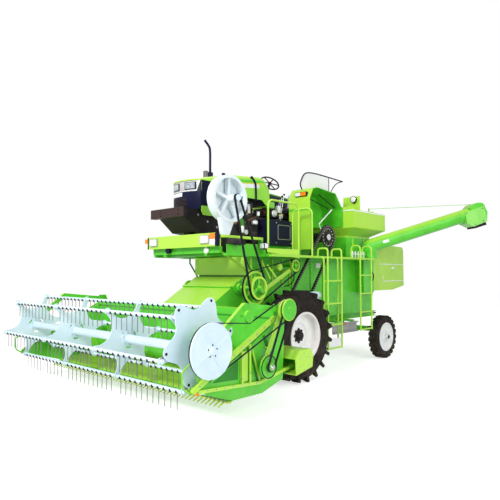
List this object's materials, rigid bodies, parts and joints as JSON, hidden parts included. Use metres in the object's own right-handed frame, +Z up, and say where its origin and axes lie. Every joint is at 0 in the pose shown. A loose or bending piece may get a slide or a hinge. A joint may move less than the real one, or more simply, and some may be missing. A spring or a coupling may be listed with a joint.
{
  "type": "tractor-mounted combine harvester",
  "caption": "Combine harvester carrying a farm tractor as its power unit, with a wide cutter head, tined reel, grain tank and swinging unloading auger.",
  "frame": {"origin": "on the ground, under the middle of the whole machine", "axes": "+Z up, -Y the way it drives, +X its left side"},
  "size_m": [5.1357, 8.5813, 4.2128],
  "materials": {
    "green_paint": "gloss",
    "lime_paint": "gloss",
    "pale_blue_paint": "satin",
    "white_paint": "gloss",
    "cream_paint": "gloss",
    "black_casting": "rough",
    "black_paint": "satin",
    "tyre": "matte",
    "rubber": "matte",
    "steel": "satin",
    "chrome": "polished",
    "seat_cover": "satin",
    "lamp_glass": "clear",
    "dark_plastic": "matte"
  },
  "bodies": {
    "root": {"belt_wheel": "white_paint", "bonnet": "lime_paint", "chassis_frame": "green_paint", "cleaning_shoe": "green_paint", "drive_belts": "rubber", "drive_chains": "black_casting", "drive_pulleys": "green_paint", "driver_guard": "black_paint", "engine": "black_casting", "exhaust": "black_paint", "fenders": "green_paint", "front_axle": "green_paint", "front_carrier": "black_paint", "grain_tank": "green_paint", "grille": "dark_plastic", "handrails": "lime_paint", "ladders": "lime_paint", "lamps": "lamp_glass", "light_bar": "lime_paint", "platform": "green_paint", "rear_axle": "green_paint", "rear_hood": "green_paint", "seat": "seat_cover", "steering_wheel": "dark_plastic", "threshing_body": "green_paint"},
    "front_wheel_left": {"front_tyre_left": "tyre", "front_rim_left": "cream_paint", "front_hub_left": "black_casting"},
    "front_wheel_right": {"front_tyre_right": "tyre", "front_rim_right": "cream_paint", "front_hub_right": "black_casting"},
    "steering_knuckle_left": {"knuckle_left": "black_casting"},
    "steering_knuckle_right": {"knuckle_right": "black_casting"},
    "rear_wheel_left": {"rear_tyre_left": "tyre", "rear_rim_left": "white_paint"},
    "rear_wheel_right": {"rear_tyre_right": "tyre", "rear_rim_right": "white_paint"},
    "sprocket_left": {"top_sprocket_left": "black_casting"},
    "sprocket_right": {"top_sprocket_right": "black_casting"},
    "header": {"feeder_house": "green_paint", "header_trough": "green_paint", "header_ends": "green_paint", "cutter_bar": "green_paint", "header_pulleys": "green_paint", "header_belts": "rubber"},
    "cutter_knife": {"knife": "steel"},
    "cross_auger": {"header_auger": "green_paint"},
    "reel_carrier": {"reel_arms": "green_paint", "reel_belt": "rubber"},
    "reel": {"reel_core": "pale_blue_paint"},
    "reel_eccentric": {"eccentric_star": "pale_blue_paint"},
    "lift_cylinders": {"lift_barrels": "green_paint"},
    "lift_pistons": {"lift_rods": "chrome"},
    "unloader": {"unload_auger": "green_paint"},
    "bat_1": {"reel_bat_1": "pale_blue_paint"},
    "bat_2": {"reel_bat_2": "pale_blue_paint"},
    "bat_3": {"reel_bat_3": "pale_blue_paint"},
    "bat_4": {"reel_bat_4": "pale_blue_paint"},
    "bat_5": {"reel_bat_5": "pale_blue_paint"},
    "bat_6": {"reel_bat_6": "pale_blue_paint"}
  },
  "joints": [
    {"name": "front_wheel_left_spin", "type": "hinge", "parent": "root", "child": "front_wheel_left", "pos_m": [0.927, -0.692, 0.775], "axis": [1, 0, 0], "continuous": true},
    {"name": "sprocket_left_spin", "type": "hinge", "parent": "root", "child": "sprocket_left", "pos_m": [0.642, 0.708, 2.55], "axis": [1, 0, 0], "continuous": true},
    {"name": "steer_left", "type": "hinge", "parent": "root", "child": "steering_knuckle_left", "pos_m": [0.602, 2.528, 0.61], "axis": [0, 0, 1], "range_deg": [-35, 35]},
    {"name": "rear_wheel_left_spin", "type": "hinge", "parent": "steering_knuckle_left", "child": "rear_wheel_left", "pos_m": [0.8345, 2.528, 0.46], "axis": [1, 0, 0], "continuous": true},
    {"name": "front_wheel_right_spin", "type": "hinge", "parent": "root", "child": "front_wheel_right", "pos_m": [-1.443, -0.692, 0.775], "axis": [1, 0, 0], "continuous": true},
    {"name": "sprocket_right_spin", "type": "hinge", "parent": "root", "child": "sprocket_right", "pos_m": [-1.158, 0.708, 2.55], "axis": [1, 0, 0], "continuous": true},
    {"name": "steer_right", "type": "hinge", "parent": "root", "child": "steering_knuckle_right", "pos_m": [-1.118, 2.528, 0.61], "axis": [0, 0, 1], "range_deg": [-35, 35]},
    {"name": "rear_wheel_right_spin", "type": "hinge", "parent": "steering_knuckle_right", "child": "rear_wheel_right", "pos_m": [-1.3505, 2.528, 0.46], "axis": [1, 0, 0], "continuous": true},
    {"name": "header_lift", "type": "hinge", "parent": "root", "child": "header", "pos_m": [-0.258, -1.542, 1.6], "axis": [-1, 0, 0], "range_deg": [-5, 22]},
    {"name": "lift_cylinder_swing", "type": "hinge", "parent": "root", "child": "lift_cylinders", "pos_m": [-0.258, -0.842, 0.77], "axis": [-1, 0, 0], "range_deg": [-2.88, 9.25]},
    {"name": "lift_rod_slide", "type": "slide", "parent": "lift_cylinders", "child": "lift_pistons", "axis": [0, -0.9988, -0.0499], "range_m": [-0.0821, 0.3272]},
    {"name": "knife_stroke", "type": "slide", "parent": "header", "child": "cutter_knife", "axis": [1, 0, 0], "range_m": [-0.038, 0.038]},
    {"name": "auger_spin", "type": "hinge", "parent": "header", "child": "cross_auger", "pos_m": [-0.258, -2.742, 0.655], "axis": [1, 0, 0], "continuous": true},
    {"name": "reel_lift", "type": "hinge", "parent": "header", "child": "reel_carrier", "pos_m": [-0.258, -2.402, 1.36], "axis": [-1, 0, 0], "range_deg": [0, 18]},
    {"name": "reel_spin", "type": "hinge", "parent": "reel_carrier", "child": "reel", "pos_m": [-0.258, -3.742, 0.965], "axis": [1, 0, 0], "continuous": true},
    {"name": "eccentric_spin", "type": "hinge", "parent": "reel_carrier", "child": "reel_eccentric", "pos_m": [1.852, -3.712, 1.045], "axis": [1, 0, 0], "continuous": true},
    {"name": "bat_1_turn", "type": "hinge", "parent": "reel", "child": "bat_1", "pos_m": [-0.258, -3.2496, 1.05182], "axis": [1, 0, 0], "continuous": true},
    {"name": "bat_2_turn", "type": "hinge", "parent": "reel", "child": "bat_2", "pos_m": [-0.258, -3.57099, 1.43485], "axis": [1, 0, 0], "continuous": true},
    {"name": "bat_3_turn", "type": "hinge", "parent": "reel", "child": "bat_3", "pos_m": [-0.258, -4.06339, 1.34802], "axis": [1, 0, 0], "continuous": true},
    {"name": "bat_4_turn", "type": "hinge", "parent": "reel", "child": "bat_4", "pos_m": [-0.258, -4.2344, 0.87818], "axis": [1, 0, 0], "continuous": true},
    {"name": "bat_5_turn", "type": "hinge", "parent": "reel", "child": "bat_5", "pos_m": [-0.258, -3.91301, 0.49515], "axis": [1, 0, 0], "continuous": true},
    {"name": "bat_6_turn", "type": "hinge", "parent": "reel", "child": "bat_6", "pos_m": [-0.258, -3.42061, 0.58198], "axis": [1, 0, 0], "continuous": true},
    {"name": "unloader_swing", "type": "hinge", "parent": "root", "child": "unloader", "pos_m": [0.742, 2.158, 2.3], "axis": [0, 0, 1], "range_deg": [-50, 28]}
  ],
  "couplings": [
    {"joint": "sprocket_left_spin", "follows": "front_wheel_left_spin", "ratio": 1.2105},
    {"joint": "sprocket_right_spin", "follows": "front_wheel_right_spin", "ratio": 1.2105},
    {"joint": "steer_right", "follows": "steer_left", "ratio": 1},
    {"joint": "lift_cylinder_swing", "follows": "header_lift", "ratio": 0.375},
    {"joint": "lift_rod_slide", "follows": "header_lift", "m_per_rad": 0.826},
    {"joint": "eccentric_spin", "follows": "reel_spin", "ratio": 1},
    {"joint": "bat_1_turn", "follows": "reel_spin", "ratio": -1},
    {"joint": "bat_2_turn", "follows": "reel_spin", "ratio": -1},
    {"joint": "bat_3_turn", "follows": "reel_spin", "ratio": -1},
    {"joint": "bat_4_turn", "follows": "reel_spin", "ratio": -1},
    {"joint": "bat_5_turn", "follows": "reel_spin", "ratio": -1},
    {"joint": "bat_6_turn", "follows": "reel_spin", "ratio": -1}
  ]
}
